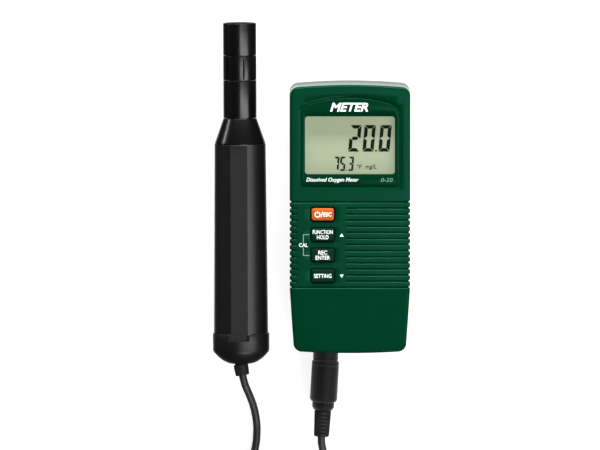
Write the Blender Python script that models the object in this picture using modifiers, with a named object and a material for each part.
"""Hand-held dissolved-oxygen meter with its plug-in probe, lying on a flat surface.

Metres, +Z up. The meter lies on its back with its display up and its plug end towards -Y.
The probe lies to its left, tip towards +Y. Each moving piece has its origin, or its parent
empty, on its joint's axis.
"""

import math

import bmesh
import bpy
from mathutils import Matrix, Vector

# Clearances
GAP = 0.0003

# Meter case
METER_X, METER_Y = 0.0192, -0.0085
CASE_LENGTH = 0.135
CASE_HALF_WIDTH = 0.0302
CASE_HALF_WIDTH_LOW = 0.0283
CASE_DEPTH = 0.033
CASE_TOP_CROWN = 0.0015
CASE_LOW_CROWN = 0.0010
CASE_CORNER = 0.0040
CASE_EDGE = 0.0012
LOWER_SLOPE = math.radians(2.2)
CASE_SCREW_PLACES = [(0.0236, 0.0595), (-0.0236, 0.0595), (0.0232, -0.0580), (-0.0232, -0.0580)]
BOSS_RADIUS = 0.0031
SPLIT_Z = 0.0160
WALL = 0.0022

# Grip
GRIP_TOP_Y = 0.0091
GRIP_LOW_Y = -0.0345
GRIP_PITCH = 0.00307
GRIP_COUNT = 14
GRIP_DEPTH = 0.0009
GRIP_SIDE_Z = 0.0240
RIBS_LEFT_X = -0.0021
SHORT_RIBS_RIGHT_X = -0.0265
GROOVE_WIDTH = 0.0010

# Display
RECESS_DEPTH = 0.0005
RECESS_HALF_WIDTH = 0.0256
RECESS_LOW_Y = 0.01575
RECESS_CROWN_Y = 0.0619
RECESS_SIDE_Y = 0.0570
WINDOW_Y = 0.0372
WINDOW_SIZE = (0.0450, 0.0290)
WINDOW_CORNER = 0.0012

# Keys
KEY_X = -0.0136
KEY_Y = {"key_power": 0.0026, "key_function": -0.0076, "key_record": -0.0179, "key_setting": -0.0283}
KEY_SIZE = (0.0116, 0.0065)
KEY_CORNER = 0.0012
KEY_TOP_Z = 0.0338
KEY_HOLE_MARGIN = 0.0004

# Battery bay, centred across the case
BAY_Y = -0.0190
BAY_SIZE = (0.0460, 0.0540)
BAY_BLOCK_SIZE = (0.0540, 0.0660)
BAY_BLOCK_Y = -0.0170
BAY_ROOF_Z = 0.0155
COVER_SIZE = (0.0502, 0.0614)
COVER_THICKNESS = 0.0018
COVER_SCREW_Y = 0.0115
CELL_DIAMETER = 0.0105
CELL_LENGTH = 0.0445
CELL_PITCH = 0.0110

# Socket and plug
SOCKET_X = -0.0121
SOCKET_Z = 0.0165
COLLAR_RADIUS = 0.0063
COLLAR_REACH = 0.0047
SOCKET_BORE = 0.0053
PLUG_TILT = math.radians(3.2)
BARREL_RADIUS, BARREL_LENGTH = 0.00685, 0.0206
FERRULE_RADIUS, FERRULE_LENGTH = 0.00550, 0.00455
BOOT_RADIUS, BOOT_END_RADIUS, BOOT_LENGTH = 0.0042, 0.0038, 0.01325
BOOT_SLOTS, BOOT_SLOT_PITCH, FIRST_BOOT_SLOT = 6, 0.0018, 0.0021
BOOT_SLOT_WIDTH, BOOT_SLOT_FLOOR = 0.0008, 0.0027

# Probe, along its own axis from the front edge of the rear band towards the tip
PROBE_X, PROBE_Y = -0.0354, -0.0672
PROBE_YAW = math.radians(0.27)
PANEL_ROLL = math.radians(3.2)
TIP_AT = 0.1559
CAP_SEAM_AT = 0.1395
RING_SEAM_AT = 0.12735
NECK_AT = 0.1080
CONE_BASE_AT = 0.0955
BAND_END_AT = -0.0094
DOME_END_AT = -0.0155
NECK_RADIUS = 0.00835
HANDLE_FRONT_RADIUS = 0.0128
HANDLE_REAR_RADIUS = 0.0136
BAND_RADIUS = 0.0142
HANDLE_BORE = 0.0112
PANEL_WIDTH = 0.0085
PANEL_REAR_AT, PANEL_FRONT_AT = -0.0035, 0.0947
SLIT_COUNT, SLIT_WIDTH, SLIT_START = 6, 0.0009, math.radians(14)
RELIEF_RADIUS, RELIEF_END_RADIUS, RELIEF_REACH = 0.00365, 0.00345, 0.0060
RELIEF_TILT, RELIEF_X = math.radians(9.5), -0.00035
PROBE_PITCH = math.atan2(BAND_RADIUS - HANDLE_FRONT_RADIUS, CONE_BASE_AT)

# Cable and its stored coil
CORD_RADIUS = 0.0019
COIL_CENTRE = (-0.0110, -0.1690)
COIL_RADIUS = 0.0270
COIL_WIDTH, COIL_HEIGHT = 0.0196, 0.0195
TIE_THICKNESS, TIE_WIDTH = 0.0008, 0.0080
PROBE_LEAD_ROUTE = [
    (-0.03466, -0.08865, 0.01451),
    (-0.03340, -0.09380, 0.01300),
    (-0.03125, -0.09910, 0.01030),
    (-0.02940, -0.10440, 0.00730),
    (-0.02820, -0.10970, 0.00450),
    (-0.02757, -0.11485, 0.00280),
    (-0.02757, -0.12000, 0.00205),
    (-0.02840, -0.12700, 0.00195),
    (-0.03165, -0.13560, 0.00195),
]
PLUG_LEAD_ROUTE = [
    (0.00494, -0.11940, 0.01650),
    (0.00497, -0.12250, 0.01650),
    (0.00580, -0.12690, 0.01690),
    (0.00780, -0.13140, 0.01770),
    (0.01010, -0.13600, 0.01870),
]

SIDES = 24
HIDDEN_SIDES = 16
OBJECT_NAME = "water_quality_probe"

COLOURS = {
    "green_plastic": ((0.004, 0.060, 0.028), 0.45, 0.0),
    "black_plastic": ((0.012, 0.012, 0.013), 0.40, 0.0),
    "grey_plastic": ((0.035, 0.036, 0.038), 0.45, 0.0),
    "orange_rubber": ((0.78, 0.16, 0.03), 0.55, 0.0),
    "green_rubber": ((0.001, 0.028, 0.012), 0.55, 0.0),
    "dark_rubber": ((0.010, 0.010, 0.011), 0.60, 0.0),
    "clear_window": ((0.55, 0.60, 0.48), 0.10, 0.0),
    "display": ((0.38, 0.44, 0.31), 0.25, 0.0),
    "white_plastic": ((0.75, 0.75, 0.72), 0.45, 0.0),
    "circuit_board": ((0.02, 0.16, 0.06), 0.50, 0.0),
    "steel": ((0.60, 0.60, 0.62), 0.30, 1.0),
    "gold": ((0.85, 0.60, 0.20), 0.25, 1.0),
    "silver": ((0.80, 0.80, 0.78), 0.25, 1.0),
    "cell_sleeve": ((0.10, 0.11, 0.13), 0.35, 0.4),
    "membrane_film": ((0.80, 0.80, 0.78), 0.20, 0.0),
}


def clear_scene():
    for obj in list(bpy.data.objects):
        bpy.data.objects.remove(obj)


def new_collection(name):
    made = bpy.data.collections.new(name)
    bpy.context.scene.collection.children.link(made)
    return made


def material(name):
    made = bpy.data.materials.get(name)
    if made:
        return made
    colour, roughness, metallic = COLOURS[name]
    made = bpy.data.materials.new(name)
    made.use_nodes = True
    shader = made.node_tree.nodes["Principled BSDF"]
    shader.inputs["Base Color"].default_value = (*colour, 1.0)
    shader.inputs["Roughness"].default_value = roughness
    shader.inputs["Metallic"].default_value = metallic
    return made


def empty(name, location, rotation=(0.0, 0.0, 0.0), parent=None):
    made = bpy.data.objects.new(name, None)
    made.location = location
    made.rotation_euler = rotation
    made.parent = parent
    PARTS.objects.link(made)
    return made


def add(name, mesh, finish, parent, location=(0.0, 0.0, 0.0), rotation=(0.0, 0.0, 0.0)):
    """A piece of the object; with finish None, a cutter."""
    obj = bpy.data.objects.new(name, mesh)
    obj.location = location
    obj.rotation_euler = rotation
    obj.parent = parent
    if finish:
        PARTS.objects.link(obj)
        if not mesh.materials:
            mesh.materials.append(material(finish))
    else:
        CUTTERS.objects.link(obj)
        obj.hide_render = True
        obj.display_type = "WIRE"
    return obj


def combine(target, other, operation="DIFFERENCE"):
    modifier = target.modifiers.new(other.name, "BOOLEAN")
    modifier.operation = operation
    modifier.object = other
    return target


def boxes_mesh(boxes):
    """Separate boxes in one mesh, each (centre, size, turn about X, turn about Z)."""
    shape = bmesh.new()
    for centre, size, turn_x, turn_z in boxes:
        turn = Matrix.Rotation(turn_z, 4, "Z") @ Matrix.Rotation(turn_x, 4, "X")
        stretch = Matrix.Diagonal((*size, 1.0))
        bmesh.ops.create_cube(shape, size=1.0, matrix=Matrix.Translation(centre) @ turn @ stretch)
    mesh = bpy.data.meshes.new("boxes")
    shape.to_mesh(mesh)
    shape.free()
    return mesh


def box_mesh(size, centre=(0.0, 0.0, 0.0)):
    return boxes_mesh([(centre, size, 0.0, 0.0)])


def rods_mesh(rods, sides=HIDDEN_SIDES):
    """Separate upright cylinders in one mesh, each (x, y, low z, high z, radius)."""
    shape = bmesh.new()
    for x, y, low, high, radius in rods:
        bmesh.ops.create_cone(
            shape, cap_ends=True, segments=sides, radius1=radius, radius2=radius, depth=high - low,
            matrix=Matrix.Translation((x, y, (low + high) / 2)),
        )
    mesh = bpy.data.meshes.new("rods")
    shape.to_mesh(mesh)
    shape.free()
    return mesh


def slab_mesh(outlines, low, high, edge=0.0):
    """A plate between two heights. The first outline is its outside, and edge bevels its rims."""
    curve = bpy.data.curves.new("outline", "CURVE")
    curve.dimensions = "2D"
    curve.fill_mode = "BOTH"
    curve.extrude = (high - low) / 2 - edge
    curve.bevel_depth = edge
    curve.bevel_resolution = 1 if edge else 0
    curve.offset = -edge
    for outline in outlines:
        spline = curve.splines.new("POLY")
        spline.points.add(len(outline) - 1)
        for point, (x, y) in zip(spline.points, outline):
            point.co = (x, y, 0.0, 1.0)
        spline.use_cyclic_u = True
    guide = bpy.data.objects.new("outline", curve)
    CUTTERS.objects.link(guide)
    mesh = bpy.data.meshes.new_from_object(guide.evaluated_get(bpy.context.evaluated_depsgraph_get()))
    bpy.data.objects.remove(guide)
    shape = bmesh.new()
    shape.from_mesh(mesh)
    bmesh.ops.remove_doubles(shape, verts=shape.verts, dist=1e-6)
    bmesh.ops.recalc_face_normals(shape, faces=shape.faces)
    bmesh.ops.translate(shape, verts=shape.verts, vec=(0.0, 0.0, (low + high) / 2))
    shape.to_mesh(mesh)
    shape.free()
    return mesh


def turned(name, profile, finish, parent, location=(0.0, 0.0, 0.0), rotation=(0.0, 0.0, 0.0), sides=SIDES):
    """A piece turned about its Z axis from (radius, height) pairs that run down its outer side.

    The profile closes on itself, unless its first radius is 0 and the piece is solid.
    """
    mesh = bpy.data.meshes.new(name)
    solid = profile[0][0] == 0.0
    count = len(profile)
    edges = [(i, (i + 1) % count) for i in range(count - 1 if solid else count)]
    mesh.from_pydata([(r, 0.0, z) for r, z in profile], edges, [])
    obj = add(name, mesh, finish, parent, location, rotation)
    screw = obj.modifiers.new("turn", "SCREW")
    screw.steps = sides
    screw.render_steps = sides
    screw.use_merge_vertices = True
    screw.merge_threshold = 1e-6
    screw.use_smooth_shade = True
    return obj


def torus_profile(major, minor, height, points=6):
    """A ring's round section, clockwise from its top, as a turned profile."""
    turns = [2 * math.pi * i / points for i in range(points)]
    return [(major + minor * math.sin(t), height + minor * math.cos(t)) for t in turns]


def arc(centre, radius, start, end, segments):
    """Points of an arc between two angles in degrees."""
    angles = [math.radians(start + (end - start) * i / segments) for i in range(segments + 1)]
    return [(centre[0] + radius * math.cos(a), centre[1] + radius * math.sin(a)) for a in angles]


def rounded_rectangle(size, corner, centre=(0.0, 0.0), segments=3):
    half_x, half_y = size[0] / 2 - corner, size[1] / 2 - corner
    points = []
    for quarter, (sx, sy) in enumerate([(1, 1), (-1, 1), (-1, -1), (1, -1)]):
        middle = (centre[0] + sx * half_x, centre[1] + sy * half_y)
        points += arc(middle, corner, 90 * quarter, 90 * quarter + 90, segments)
    return points


def mirrored(right_half):
    """A closed outline from its right half, clockwise from the top centre to the bottom centre."""
    return right_half + [(-x, y) for x, y in reversed(right_half) if x > 1e-9]


def case_outline(inset=0.0):
    """The case in plan: crowned ends, round corners, straight sides that draw in below the grip."""
    half, half_low = CASE_HALF_WIDTH - inset, CASE_HALF_WIDTH_LOW - inset
    corner = CASE_CORNER - inset / 2
    top, low = CASE_LENGTH / 2 - inset, -CASE_LENGTH / 2 + inset
    segments = 4
    points = []
    for i in range(segments):
        x = (half - corner) * i / segments
        points.append((x, top - CASE_TOP_CROWN * (x / half) ** 2))
    end = top - CASE_TOP_CROWN
    points += arc((half - corner, end - corner), corner, 90, 0, segments)
    points.append((half, GRIP_LOW_Y))
    end = low + CASE_LOW_CROWN
    points += arc((half_low - corner, end + corner), corner, 0, -90, segments)
    for i in range(segments - 1, -1, -1):
        x = (half_low - corner) * i / segments
        points.append((x, low + CASE_LOW_CROWN * (x / half_low) ** 2))
    return mirrored(points)


def recess_outline():
    """The shallow display recess: an arched top and round lower corners."""
    corner, segments = 0.0025, 6
    points = []
    for i in range(segments + 1):
        x = RECESS_HALF_WIDTH * i / segments
        points.append((x, RECESS_CROWN_Y - (RECESS_CROWN_Y - RECESS_SIDE_Y) * (i / segments) ** 2))
    points += arc((RECESS_HALF_WIDTH - corner, RECESS_LOW_Y + corner), corner, 0, -90, 3)
    return mirrored(points)


# ---------------------------------------------------------------- meter case


def rib_y(i):
    return GRIP_TOP_Y - GRIP_PITCH * (i + 0.9)


def grip_cutters(parent):
    """V grooves across the front, V notches down its long edges, and the hollows below them."""
    quarter = math.pi / 4
    grooves, notches = [], []
    right_end, left_end = 0.0320, -0.0320
    notch_width = 0.0022
    for i in range(GRIP_COUNT):
        y = rib_y(i)
        for x0, x1 in ((RIBS_LEFT_X, right_end), (left_end, SHORT_RIBS_RIGHT_X)):
            centre = ((x0 + x1) / 2, y, CASE_DEPTH)
            grooves.append((centre, (x1 - x0, GROOVE_WIDTH, GROOVE_WIDTH), quarter, 0.0))
        for side in (-1, 1):
            reach = CASE_HALF_WIDTH - GRIP_DEPTH + notch_width * math.sqrt(0.5)
            middle = (side * reach, y, GRIP_SIDE_Z + 0.0055)
            notches.append((middle, (notch_width, notch_width, 0.0130), 0.0, quarter))
    centre = (0.0, GRIP_TOP_Y + 0.0006, CASE_DEPTH)
    grooves.append((centre, (2 * right_end, GROOVE_WIDTH, GROOVE_WIDTH), quarter, 0.0))
    hollow_size = (0.0060, GRIP_TOP_Y - GRIP_LOW_Y, GRIP_SIDE_Z + 0.0010)
    hollow_x = CASE_HALF_WIDTH - GRIP_DEPTH + hollow_size[0] / 2
    hollow_y = (GRIP_TOP_Y + GRIP_LOW_Y) / 2
    hollow_z = GRIP_SIDE_Z - hollow_size[2] / 2
    hollows = [((side * hollow_x, hollow_y, hollow_z), hollow_size, 0.0, 0.0) for side in (-1, 1)]
    return (
        add("finger_hollows", boxes_mesh(hollows), None, parent),
        add("side_notches", boxes_mesh(notches), None, parent),
        add("front_grooves", boxes_mesh(grooves), None, parent),
    )


def socket_hole(parent):
    mesh = rods_mesh([(0.0, 0.0, 0.0, 0.0120, COLLAR_RADIUS + GAP)], SIDES)
    location = (SOCKET_X, -CASE_LENGTH / 2 - 0.0040, SOCKET_Z)
    return add("socket_hole", mesh, None, parent, location, (-math.pi / 2, 0.0, 0.0))


def case_block(name, parent, finish):
    return add(name, slab_mesh([case_outline()], 0.0, CASE_DEPTH, CASE_EDGE), finish, parent)


def case_cavity(parent):
    mesh = slab_mesh([case_outline(WALL)], WALL, CASE_DEPTH - WALL)
    return add("case_cavity", mesh, None, parent)


def front_case(parent, cavity, hole, grip):
    case = case_block("front_case", parent, "green_plastic")
    below = box_mesh((0.08, 0.16, 0.04), (0.0, 0.0, SPLIT_Z + GAP / 2 - 0.02))
    combine(case, cavity)
    combine(case, add("below_split", below, None, parent))
    bosses = [(x, y, SPLIT_Z + GAP / 2, CASE_DEPTH - 0.0010, BOSS_RADIUS) for x, y in CASE_SCREW_PLACES]
    combine(case, add("front_bosses", rods_mesh(bosses), None, parent), "UNION")
    pilots = [(x, y, SPLIT_Z - 0.0010, 0.0280, 0.00145) for x, y in CASE_SCREW_PLACES]
    combine(case, add("front_pilots", rods_mesh(pilots, 12), None, parent))
    combine(case, hole)
    recess = slab_mesh([recess_outline()], CASE_DEPTH - RECESS_DEPTH, CASE_DEPTH + 0.0010)
    combine(case, add("display_recess", recess, None, parent))
    openings = [rounded_rectangle(WINDOW_SIZE, WINDOW_CORNER, (0.0, WINDOW_Y))]
    key_hole = [side + 2 * KEY_HOLE_MARGIN for side in KEY_SIZE]
    for y in KEY_Y.values():
        openings.append(rounded_rectangle(key_hole, KEY_CORNER + KEY_HOLE_MARGIN, (KEY_X, y)))
    for i, outline in enumerate(openings):
        mesh = slab_mesh([outline], 0.0290, CASE_DEPTH + 0.0010)
        combine(case, add(f"front_opening_{i}", mesh, None, parent))
    for cutter in grip:
        combine(case, cutter)
    slope_length, slope_height = 0.0400, 0.0060
    slope = box_mesh((0.0800, slope_length, slope_height), (0.0, -slope_length / 2, slope_height / 2))
    location = (0.0, GRIP_LOW_Y, CASE_DEPTH - 0.0001)
    combine(case, add("lower_slope", slope, None, parent, location, (LOWER_SLOPE, 0.0, 0.0)))
    return case


def rear_case(parent, cavity, hole, grip):
    case = case_block("rear_case", parent, "green_plastic")
    above = box_mesh((0.08, 0.16, 0.04), (0.0, 0.0, SPLIT_Z - GAP / 2 + 0.02))
    combine(case, cavity)
    combine(case, add("above_split", above, None, parent))
    floor = 0.0010
    block_middle = (0.0, BAY_BLOCK_Y, (BAY_ROOF_Z + floor) / 2)
    block = box_mesh((*BAY_BLOCK_SIZE, BAY_ROOF_Z - floor), block_middle)
    combine(case, add("bay_block", block, None, parent), "UNION")
    bosses = [(x, y, 0.0010, SPLIT_Z - GAP / 2 - 0.0001, BOSS_RADIUS) for x, y in CASE_SCREW_PLACES]
    combine(case, add("rear_bosses", rods_mesh(bosses), None, parent), "UNION")
    roof = 0.0015
    bay = box_mesh((*BAY_SIZE, 0.0300), (0.0, BAY_Y, BAY_ROOF_Z - roof - 0.0150))
    combine(case, add("battery_bay", bay, None, parent))
    seat_size = [side + 2 * GAP for side in COVER_SIZE]
    seat_outline = rounded_rectangle(seat_size, 0.0020, (0.0, BAY_BLOCK_Y))
    seat = slab_mesh([seat_outline], -0.0010, COVER_THICKNESS + 2 * GAP)
    combine(case, add("cover_seat", seat, None, parent))
    shanks = [(x, y, -0.0010, SPLIT_Z + 0.0010, 0.0016) for x, y in CASE_SCREW_PLACES]
    shanks.append((0.0, COVER_SCREW_Y, -0.0010, 0.0100, 0.0014))
    combine(case, add("rear_screw_holes", rods_mesh(shanks, 12), None, parent))
    heads = [(x, y, -0.0010, 0.0060, 0.0028) for x, y in CASE_SCREW_PLACES]
    combine(case, add("rear_head_holes", rods_mesh(heads), None, parent))
    combine(case, hole)
    combine(case, grip[0])
    return case


def battery_cover(parent):
    outline = rounded_rectangle(COVER_SIZE, 0.0017, (0.0, BAY_BLOCK_Y))
    plate = slab_mesh([outline], GAP, GAP + COVER_THICKNESS)
    cover = add("battery_cover", plate, "green_plastic", parent)
    hole = rods_mesh([(0.0, COVER_SCREW_Y, -0.0010, 0.0040, 0.0014)], 12)
    combine(cover, add("cover_screw_hole", hole, None, parent))
    sink = rods_mesh([(0.0, COVER_SCREW_Y, -0.0010, 0.0013, 0.0026)])
    combine(cover, add("cover_screw_sink", sink, None, parent))
    return cover


def screw(name, parent, x, y, head_z, head_height, shank_end, shank_radius, head_radius=0.0024):
    """A pan-head screw with its head at the low end, and a shallow cup as its cross recess."""
    cup_radius, cup_depth = 0.45 * head_radius, 0.4 * head_height
    profile = [
        (0.0, shank_end),
        (0.6 * shank_radius, shank_end),
        (shank_radius, shank_end - 0.0010),
        (shank_radius, head_z + head_height),
        (head_radius, head_z + head_height),
        (head_radius, head_z + 0.0002),
        (head_radius - 0.0003, head_z),
        (cup_radius, head_z),
        (0.0, head_z + cup_depth),
    ]
    return turned(name, profile, "steel", parent, (x, y, 0.0), sides=HIDDEN_SIDES)


def battery_parts(parent):
    top_z = CELL_DIAMETER / 2 + COVER_THICKNESS + 3 * GAP
    half, nub = CELL_LENGTH / 2, 0.0010
    radius = CELL_DIAMETER / 2
    profile = [
        (0.0, half),
        (0.0019, half),
        (0.0019, half - nub),
        (radius - 0.0003, half - nub),
        (radius, half - nub - 0.0003),
        (radius, -half + 0.0003),
        (radius - 0.0003, -half),
        (0.0, -half),
    ]
    for i in range(4):
        x = (i - 1.5) * CELL_PITCH
        flip = math.pi / 2 if i % 2 else -math.pi / 2
        place, turn = (x, BAY_Y, top_z), (flip, 0.0, 0.0)
        turned(f"battery_{i + 1}", profile, "cell_sleeve", parent, place, turn, HIDDEN_SIDES)
    bay_end = BAY_SIZE[1] / 2
    single, double = 0.0085, 0.0195
    plates = [
        ("battery_plate_1", -1.5 * CELL_PITCH, 1, single),
        ("battery_plate_2", 0.0, 1, double),
        ("battery_plate_3", 1.5 * CELL_PITCH, 1, single),
        ("battery_plate_4", -CELL_PITCH, -1, double),
        ("battery_plate_5", CELL_PITCH, -1, double),
    ]
    for name, x, end, width in plates:
        contact_plate(name, parent, (x, BAY_Y + end * (bay_end - GAP), top_z), end, width)


def contact_plate(name, parent, location, end, width):
    """A bent leaf: a back against the bay's end and a tongue that reaches for the cells."""
    back, reach, thickness = 0.0085, 0.0038, 0.0003
    half = back / 2
    tongue = [(-reach, -half * 0.2), (-reach, half * 0.4), (-reach * 0.7, half * 0.6)]
    outline = [(0.0, half), (0.0, -half)] + tongue
    shape = bmesh.new()
    rows = []
    for side in (-0.5, 0.5):
        rows.append([shape.verts.new((side * width, end * y, z)) for y, z in outline])
    for i in range(len(outline) - 1):
        shape.faces.new((rows[0][i], rows[1][i], rows[1][i + 1], rows[0][i + 1]))
    mesh = bpy.data.meshes.new(name)
    shape.to_mesh(mesh)
    shape.free()
    plate = add(name, mesh, "steel", parent, location)
    sheet = plate.modifiers.new("sheet", "SOLIDIFY")
    sheet.thickness = thickness
    sheet.offset = 0.0
    return plate


def display_parts(parent):
    middle = (0.0, WINDOW_Y)
    width, height = WINDOW_SIZE
    flange_size = (width + 0.0034, height + 0.0034)
    flange = slab_mesh([rounded_rectangle(flange_size, 0.0015, middle)], 0.0293, 0.0305)
    lens = add("lcd_lens", flange, "clear_window", parent)
    boss_size = [side - 2 * GAP for side in WINDOW_SIZE]
    boss = slab_mesh([rounded_rectangle(boss_size, WINDOW_CORNER - GAP, middle)], 0.0300, 0.0323)
    combine(lens, add("lens_boss", boss, None, parent), "UNION")
    frame_size = (width + 0.0056, height + 0.0056)
    frame_opening = (width + 0.0022, height + 0.0022)
    frame_low, frame_high = 0.0239, 0.0290
    outer = rounded_rectangle(frame_size, 0.0015, middle)
    inner = rounded_rectangle(frame_opening, GAP, middle)
    add("lcd_frame", slab_mesh([outer, inner], frame_low, frame_high), "white_plastic", parent)
    glass_size = (width + 0.0016, height + 0.0016, 0.0023)
    glass_z = frame_high - 0.0001 - glass_size[2] / 2
    add("lcd_glass", box_mesh(glass_size, (0.0, WINDOW_Y, glass_z)), "display", parent)
    strip_size = (width - 0.0010, 0.0024, 0.0023)
    strip_z = glass_z - glass_size[2] / 2 - GAP - strip_size[2] / 2
    strip_y = WINDOW_Y + 0.0120
    add("contact_strip", box_mesh(strip_size, (0.0, strip_y, strip_z)), "orange_rubber", parent)


def board_parts(parent):
    board_z, board_thickness = 0.0220, 0.0016
    board = box_mesh((0.0520, 0.1050, board_thickness), (0.0, 0.0025, board_z + board_thickness / 2))
    add("main_board", board, "circuit_board", parent)
    add("main_chip", box_mesh((0.0140, 0.0140, 0.0017), (0.0, 0.0300, 0.0208)), "black_plastic", parent)
    mat_size = (0.0180, 0.0440, 0.0012)
    mat_z = board_z + board_thickness + GAP + mat_size[2] / 2
    keys_y = sum(KEY_Y.values()) / len(KEY_Y)
    mat = add("keypad_mat", box_mesh(mat_size, (KEY_X, keys_y, mat_z)), "white_plastic", parent)
    nub_radius, nub_top = 0.0024, 0.0277
    nubs = [(KEY_X, y, mat_z, nub_top, nub_radius) for y in KEY_Y.values()]
    combine(mat, add("keypad_nubs", rods_mesh(nubs, 12), None, parent), "UNION")


def key(name, parent):
    finish = "orange_rubber" if name == "key_power" else "green_rubber"
    cap = slab_mesh([rounded_rectangle(KEY_SIZE, KEY_CORNER)], -0.0036, 0.0, 0.0005)
    piece = add(name, cap, finish, parent, (KEY_X, KEY_Y[name], KEY_TOP_Z))
    flange_low, flange_high = 0.0290 - KEY_TOP_Z, 0.0305 - KEY_TOP_Z
    flange = slab_mesh([rounded_rectangle((0.0142, 0.0088), 0.0015)], flange_low, flange_high)
    combine(piece, add(name + "_flange", flange, None, parent, piece.location), "UNION")
    return piece


def socket_parts(parent):
    """The round socket in the meter's lower end; local Z points out of the case."""
    collar_low = COLLAR_RADIUS - 0.0002
    flange_radius, body_radius, flange_thickness = 0.0076, 0.0068, 0.0013
    wall = COLLAR_REACH + WALL + CASE_LOW_CROWN
    depth = COLLAR_REACH + 0.0145
    profile = [
        (SOCKET_BORE, 0.0),
        (collar_low, 0.0),
        (COLLAR_RADIUS, -0.0002),
        (COLLAR_RADIUS, -wall),
        (flange_radius, -wall),
        (flange_radius, -wall - flange_thickness),
        (body_radius, -wall - flange_thickness),
        (body_radius, -depth),
        (SOCKET_BORE, -depth),
    ]
    location = (SOCKET_X, -CASE_LENGTH / 2 - COLLAR_REACH, SOCKET_Z)
    turned("probe_socket", profile, "grey_plastic", parent, location, (math.pi / 2, 0.0, 0.0))


def leads(parent):
    """The flat lead from the socket's insert up to the main board."""
    start, end = (SOCKET_X, -0.0526, SOCKET_Z), (SOCKET_X, -0.0470, 0.0206)
    centre = [(a + b) / 2 for a, b in zip(start, end)]
    run, rise = end[1] - start[1], end[2] - start[2]
    length = math.hypot(run, rise)
    mesh = box_mesh((0.0060, length, 0.0010))
    add("socket_lead", mesh, "grey_plastic", parent, centre, (math.atan2(rise, run), 0.0, 0.0))


def meter():
    frame = empty("meter_frame", (METER_X, METER_Y, 0.0))
    cavity, hole, grip = case_cavity(frame), socket_hole(frame), grip_cutters(frame)
    front_case(frame, cavity, hole, grip)
    rear_case(frame, cavity, hole, grip)
    battery_cover(frame)
    screw("cover_screw", frame, 0.0, COVER_SCREW_Y, 0.0003, 0.0008, 0.0080, 0.0011, 0.0023)
    for i, (x, y) in enumerate(CASE_SCREW_PLACES):
        screw(f"case_screw_{i + 1}", frame, x, y, 0.0037, 0.0020, 0.0250, 0.0011)
    battery_parts(frame)
    display_parts(frame)
    board_parts(frame)
    for name in KEY_Y:
        key(name, frame)
    socket_parts(frame)
    leads(frame)
    return frame


# ---------------------------------------------------------------- plug


def plug(meter_frame):
    """The plug; local Z points out of the socket along the plug's tilted axis."""
    start = (SOCKET_X, -CASE_LENGTH / 2 - COLLAR_REACH - GAP, SOCKET_Z)
    frame = empty("plug_frame", start, (math.pi / 2, 0.0, -PLUG_TILT), meter_frame)
    rim, bore = 0.0005, 0.0046
    low, barrel_end = BARREL_RADIUS * math.sin(PLUG_TILT), BARREL_LENGTH
    barrel = [
        (bore, barrel_end),
        (BARREL_RADIUS - 0.0006, barrel_end),
        (BARREL_RADIUS, barrel_end - 0.0010),
        (BARREL_RADIUS, low + rim),
        (BARREL_RADIUS - rim, low),
        (bore, low),
    ]
    turned("plug_barrel", barrel, "grey_plastic", frame)
    ferrule_low, ferrule_end = barrel_end + GAP, barrel_end + FERRULE_LENGTH
    boot_bore = CORD_RADIUS + GAP
    ferrule = [
        (boot_bore, ferrule_end),
        (FERRULE_RADIUS - 0.0010, ferrule_end),
        (FERRULE_RADIUS, ferrule_end - 0.0014),
        (FERRULE_RADIUS, ferrule_low),
        (boot_bore, ferrule_low),
    ]
    turned("plug_ferrule", ferrule, "grey_plastic", frame)
    boot_low, boot_end = ferrule_end + GAP, ferrule_end + BOOT_LENGTH
    boot = [
        (boot_bore, boot_end),
        (BOOT_END_RADIUS - 0.0004, boot_end),
        (BOOT_END_RADIUS, boot_end - 0.0006),
        (BOOT_RADIUS, boot_low),
        (boot_bore, boot_low),
    ]
    sleeve = turned("plug_boot", boot, "dark_rubber", frame)
    slot_size = (2 * BOOT_RADIUS, 2 * (BOOT_RADIUS - BOOT_SLOT_FLOOR), BOOT_SLOT_WIDTH)
    slots = []
    for i in range(BOOT_SLOTS):
        for side in (-1, 1):
            centre = (0.0, side * BOOT_RADIUS, boot_low + FIRST_BOOT_SLOT + i * BOOT_SLOT_PITCH)
            slots.append((centre, slot_size, 0.0, 0.0))
    combine(sleeve, add("boot_slots", boxes_mesh(slots), None, frame))
    shell_outer, shell_inner, shell_reach = 0.0043, 0.0037, 0.0090
    shell = [
        (shell_inner, 0.0100),
        (shell_outer, 0.0100),
        (shell_outer, -shell_reach + 0.0003),
        (shell_outer - 0.0003, -shell_reach),
        (shell_inner, -shell_reach),
    ]
    turned("plug_shell", shell, "steel", frame)
    insert_radius = shell_inner - GAP
    insert = [(0.0, 0.0080), (insert_radius, 0.0080), (insert_radius, 0.0), (0.0, 0.0)]
    core = turned("plug_insert", insert, "black_plastic", frame)
    pins = [(0.0, 0.0, -0.0060, 0.0010, 0.0005)]
    for i in range(4):
        turn = math.radians(45 + 90 * i)
        pins.append((0.0021 * math.cos(turn), 0.0021 * math.sin(turn), -0.0060, 0.0010, 0.0005))
    combine(core, add("plug_pins", rods_mesh(pins, 8), None, frame), "UNION")
    seat_radius = SOCKET_BORE - 0.0008
    seat = [(0.0, -0.0100), (seat_radius, -0.0100), (seat_radius, -0.0145), (0.0, -0.0145)]
    turned("socket_insert", seat, "black_plastic", frame)


# ---------------------------------------------------------------- probe


def handle_radius(at):
    return HANDLE_REAR_RADIUS + (HANDLE_FRONT_RADIUS - HANDLE_REAR_RADIUS) * at / CONE_BASE_AT


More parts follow.
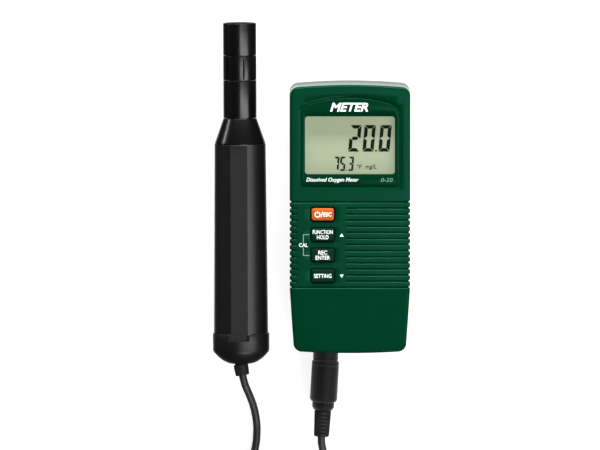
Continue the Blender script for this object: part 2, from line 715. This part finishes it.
def panel_cutter(frame):
    """Cuts the flat panel along the top of the handle, the same width all the way as it tapers."""
    half = PANEL_WIDTH / 2

    def depth(at):
        return math.sqrt(handle_radius(at) ** 2 - half**2)

    front, rear = depth(PANEL_FRONT_AT), depth(PANEL_REAR_AT)
    length = PANEL_FRONT_AT - PANEL_REAR_AT
    slope = math.atan2(rear - front, length)
    height = 0.0060
    mesh = box_mesh((PANEL_WIDTH + 0.00001, height, length), (0.0, -height / 2, length / 2))
    holder = empty("panel_frame", (0.0, 0.0, 0.0), (0.0, 0.0, -PANEL_ROLL), frame)
    return add("panel", mesh, None, holder, (0.0, -rear, PANEL_REAR_AT), (-slope, 0.0, 0.0))


def probe_handle(frame):
    cone_joint = CONE_BASE_AT - GAP
    tube = [
        (HANDLE_BORE, cone_joint),
        (handle_radius(CONE_BASE_AT), cone_joint),
        (handle_radius(GAP), GAP),
        (HANDLE_BORE, GAP),
    ]
    handle = turned("handle_tube", tube, "black_plastic", frame)
    panel = panel_cutter(frame)
    combine(handle, panel)
    cone_bore, spigot = 0.0064, HANDLE_BORE - GAP
    cone = [
        (cone_bore, NECK_AT),
        (NECK_RADIUS, NECK_AT),
        (HANDLE_FRONT_RADIUS, CONE_BASE_AT),
        (spigot, CONE_BASE_AT),
        (spigot, CONE_BASE_AT - 0.0070),
        (cone_bore, CONE_BASE_AT - 0.0070),
    ]
    turned("nose_cone", cone, "black_plastic", frame)
    inner, tail_bore = 0.0056, 0.0040
    dome = [
        (BAND_RADIUS - 0.0006, BAND_END_AT),
        (BAND_RADIUS - 0.0020, BAND_END_AT - 0.0022),
        (BAND_RADIUS - 0.0050, BAND_END_AT - 0.0044),
        (BAND_RADIUS - 0.0085, DOME_END_AT),
        (tail_bore, DOME_END_AT),
        (tail_bore, DOME_END_AT + 0.0022),
        (inner, DOME_END_AT + 0.0022),
    ]
    end = [
        (inner, 0.0070),
        (spigot, 0.0070),
        (spigot, -0.0002),
        (BAND_RADIUS - 0.0003, -0.0002),
        (BAND_RADIUS, -0.0006),
        (BAND_RADIUS, BAND_END_AT + 0.0008),
    ]
    cap = turned("end_cap", end + dome, "black_plastic", frame)
    combine(cap, panel)


def sensor_head(frame):
    """The stem, the slotted ring and, inside them, the electrodes and the thermistor."""
    spigot, bore = 0.0060, 0.0044
    groove_radius, groove_low, groove_high = 0.0050, NECK_AT - 0.0060, NECK_AT - 0.0040
    stem = [
        (bore, RING_SEAM_AT - GAP),
        (NECK_RADIUS, RING_SEAM_AT - GAP),
        (NECK_RADIUS, NECK_AT + GAP),
        (spigot, NECK_AT + GAP),
        (spigot, groove_high),
        (groove_radius, groove_high),
        (groove_radius, groove_low),
        (spigot, groove_low),
        (spigot, NECK_AT - 0.0100),
        (bore, NECK_AT - 0.0100),
    ]
    turned("sensor_stem", stem, "black_plastic", frame)
    seal = torus_profile(0.00575, 0.0005, (groove_low + groove_high) / 2)
    turned("neck_seal", seal, "dark_rubber", frame, sides=HIDDEN_SIDES)
    ring_inner, thread = 0.0058, 0.0062
    ring = [
        (ring_inner, CAP_SEAM_AT + 0.0050),
        (thread, CAP_SEAM_AT + 0.0050),
        (thread, CAP_SEAM_AT),
        (NECK_RADIUS, CAP_SEAM_AT),
        (NECK_RADIUS, RING_SEAM_AT),
        (ring_inner, RING_SEAM_AT),
    ]
    slotted = turned("slotted_ring", ring, "black_plastic", frame)
    slit_low, slit_high = RING_SEAM_AT + 0.0010, CAP_SEAM_AT - 0.0010
    slits = []
    for i in range(SLIT_COUNT):
        turn = SLIT_START + 2 * math.pi * i / SLIT_COUNT
        middle = (0.0072 * math.sin(turn), -0.0072 * math.cos(turn), (slit_low + slit_high) / 2)
        slits.append((middle, (SLIT_WIDTH, 0.0040, slit_high - slit_low), 0.0, turn))
    combine(slotted, add("ring_slits", boxes_mesh(slits), None, frame))
    holder_radius, holder_end = 0.0036, TIP_AT - 0.0060
    cathode_radius, cathode_depth = 0.0010, 0.0080
    hole_low = holder_end - cathode_depth
    electrode_holder(frame, holder_radius, holder_end, cathode_radius + GAP, hole_low)
    cathode_low, cathode_high = hole_low + GAP, TIP_AT - 0.0034
    cathode = [
        (0.0, cathode_high),
        (cathode_radius, cathode_high),
        (cathode_radius, cathode_low),
        (0.0, cathode_low),
    ]
    turned("cathode", cathode, "gold", frame, sides=12)
    anode_inner, anode_outer = holder_radius + GAP, 0.0048
    anode_low, anode_high = CAP_SEAM_AT + 0.0010, CAP_SEAM_AT + 0.0075
    anode = [
        (anode_inner, anode_high),
        (anode_outer, anode_high),
        (anode_outer, anode_low),
        (anode_inner, anode_low),
    ]
    turned("anode", anode, "silver", frame, sides=HIDDEN_SIDES)
    probe_pin = rods_mesh([(0.0, 0.0, 0.0, 0.0110, 0.0006)], 8)
    add("thermistor", probe_pin, "steel", frame, (0.0, 0.0047, RING_SEAM_AT + GAP))


def electrode_holder(frame, radius, high, hole_radius, hole_low):
    """A rod with a blind hole in its front face for the cathode."""
    low = NECK_AT + 0.0100
    profile = [(0.0, high), (radius, high), (radius, low), (0.0, low)]
    rod = turned("electrode_holder", profile, "white_plastic", frame, sides=HIDDEN_SIDES)
    hole = rods_mesh([(0.0, 0.0, hole_low, high + 0.0010, hole_radius)], 12)
    combine(rod, add("cathode_hole", hole, None, frame))


def membrane_cap(frame):
    bore, mouth, lip = 0.0066, 0.0040, 0.0027
    counterbore, counterbore_end = 0.0075, CAP_SEAM_AT + 0.0015
    low = CAP_SEAM_AT + GAP
    cap = [
        (mouth, TIP_AT),
        (NECK_RADIUS - 0.0006, TIP_AT),
        (NECK_RADIUS - 0.0002, TIP_AT - 0.0002),
        (NECK_RADIUS, TIP_AT - 0.0006),
        (NECK_RADIUS, low),
        (counterbore, low),
        (counterbore, counterbore_end),
        (bore, counterbore_end),
        (bore, TIP_AT - lip),
        (mouth, TIP_AT - lip),
    ]
    turned("membrane_cap", cap, "black_plastic", frame)
    film = TIP_AT - lip - GAP
    film_radius, film_thickness = 0.0060, 0.0002
    film_low = film - film_thickness
    disc = [(0.0, film), (film_radius, film), (film_radius, film_low), (0.0, film_low)]
    turned("membrane", disc, "membrane_film", frame)
    ring_high, ring_low = film_low - GAP, film - 0.0026
    ring = [(0.0046, ring_high), (0.0062, ring_high), (0.0062, ring_low), (0.0046, ring_low)]
    turned("membrane_ring", ring, "white_plastic", frame)
    seal = torus_profile(0.00685, 0.00035, CAP_SEAM_AT + 0.0007)
    turned("cap_seal", seal, "dark_rubber", frame, sides=HIDDEN_SIDES)


def probe_tail(frame):
    clamp_low, clamp_high = DOME_END_AT + 0.0050, DOME_END_AT + 0.0080
    grip = CORD_RADIUS + GAP
    clamp = [(grip, clamp_high), (0.0042, clamp_high), (0.0042, clamp_low), (grip, clamp_low)]
    turned("cable_clamp", clamp, "white_plastic", frame, sides=HIDDEN_SIDES)
    board_size, board_at = (0.0140, 0.0016, 0.0500), 0.0550
    add("probe_board", box_mesh(board_size, (0.0, 0.0, board_at)), "circuit_board", frame)
    tilt = empty("relief_frame", (RELIEF_X, 0.0, DOME_END_AT), (0.0, -RELIEF_TILT, 0.0), frame)
    waist = 0.0029
    relief = [
        (grip, 0.0038),
        (0.0042, 0.0038),
        (0.0042, 0.0029),
        (waist, 0.0029),
        (waist, -0.0004),
        (RELIEF_RADIUS, -0.0007),
        (RELIEF_END_RADIUS, -RELIEF_REACH),
        (grip, -RELIEF_REACH),
    ]
    turned("strain_relief", relief, "dark_rubber", tilt)


def probe():
    height = BAND_RADIUS * math.cos(PROBE_PITCH)
    rotation = (-math.pi / 2 - PROBE_PITCH, 0.0, PROBE_YAW)
    frame = empty("probe_frame", (PROBE_X, PROBE_Y, height), rotation)
    probe_handle(frame)
    sensor_head(frame)
    membrane_cap(frame)
    probe_tail(frame)


# ---------------------------------------------------------------- cable


def smooth_route(route, spacing):
    """Points about this far apart on the smooth curve through the route's own points."""
    points = [Vector(p) for p in route]
    points = [2 * points[0] - points[1]] + points + [2 * points[-1] - points[-2]]
    made = []
    for a, b, c, d in zip(points, points[1:], points[2:], points[3:]):
        steps = max(1, round((c - b).length / spacing))
        for i in range(steps):
            t = i / steps
            made.append(0.5 * (2 * b + (c - a) * t + (2 * a - 5 * b + 4 * c - d) * t**2
                               + (3 * b - a - 3 * c + d) * t**3))
    return made + [Vector(route[-1])]


def cord_tube(name, route):
    curve = bpy.data.curves.new(name, "CURVE")
    curve.dimensions = "3D"
    curve.bevel_depth = CORD_RADIUS
    curve.bevel_resolution = 2
    curve.use_fill_caps = True
    points = smooth_route(route, 5 * CORD_RADIUS)
    spline = curve.splines.new("POLY")
    spline.points.add(len(points) - 1)
    for point, place in zip(spline.points, points):
        point.co = (*place, 1.0)
    curve.materials.append(material("dark_rubber"))
    return add(name, curve, "dark_rubber", None)


def coil():
    """The stored length as one ring, drawn in where the tie goes round it."""
    corner = 0.0040
    section = rounded_rectangle((COIL_WIDTH, COIL_HEIGHT), corner, (COIL_RADIUS, COIL_HEIGHT / 2), 2)
    centre = (*COIL_CENTRE, 0.0)
    ring = turned("cord_coil", list(reversed(section)), "dark_rubber", None, centre, sides=32)
    room = TIE_THICKNESS + 2 * GAP
    inner = rounded_rectangle((COIL_WIDTH - 2 * room, COIL_HEIGHT - 2 * room), corner - room)
    outer = rounded_rectangle((COIL_WIDTH + 0.0040, COIL_HEIGHT + 0.0040), corner)
    middle = (COIL_CENTRE[0], COIL_CENTRE[1] - COIL_RADIUS, COIL_HEIGHT / 2)
    stand = (math.pi / 2, 0.0, math.pi / 2)
    width = TIE_WIDTH / 2 + GAP
    combine(ring, add("tie_groove", slab_mesh([outer, inner], -width, width), None, None, middle, stand))
    band_outer = (COIL_WIDTH - 2 * GAP, COIL_HEIGHT - 2 * GAP)
    band_inner = [side - 2 * TIE_THICKNESS for side in band_outer]
    outer = rounded_rectangle(band_outer, corner - GAP)
    inner = rounded_rectangle(band_inner, corner - room + GAP)
    mesh = slab_mesh([outer, inner], -TIE_WIDTH / 2, TIE_WIDTH / 2)
    add("coil_tie", mesh, "dark_rubber", None, middle, stand)


clear_scene()
PARTS = new_collection(OBJECT_NAME)
CUTTERS = new_collection("cutters")
METER = meter()
plug(METER)
probe()
cord_tube("cord_probe_lead", PROBE_LEAD_ROUTE)
cord_tube("cord_plug_lead", PLUG_LEAD_ROUTE)
coil()
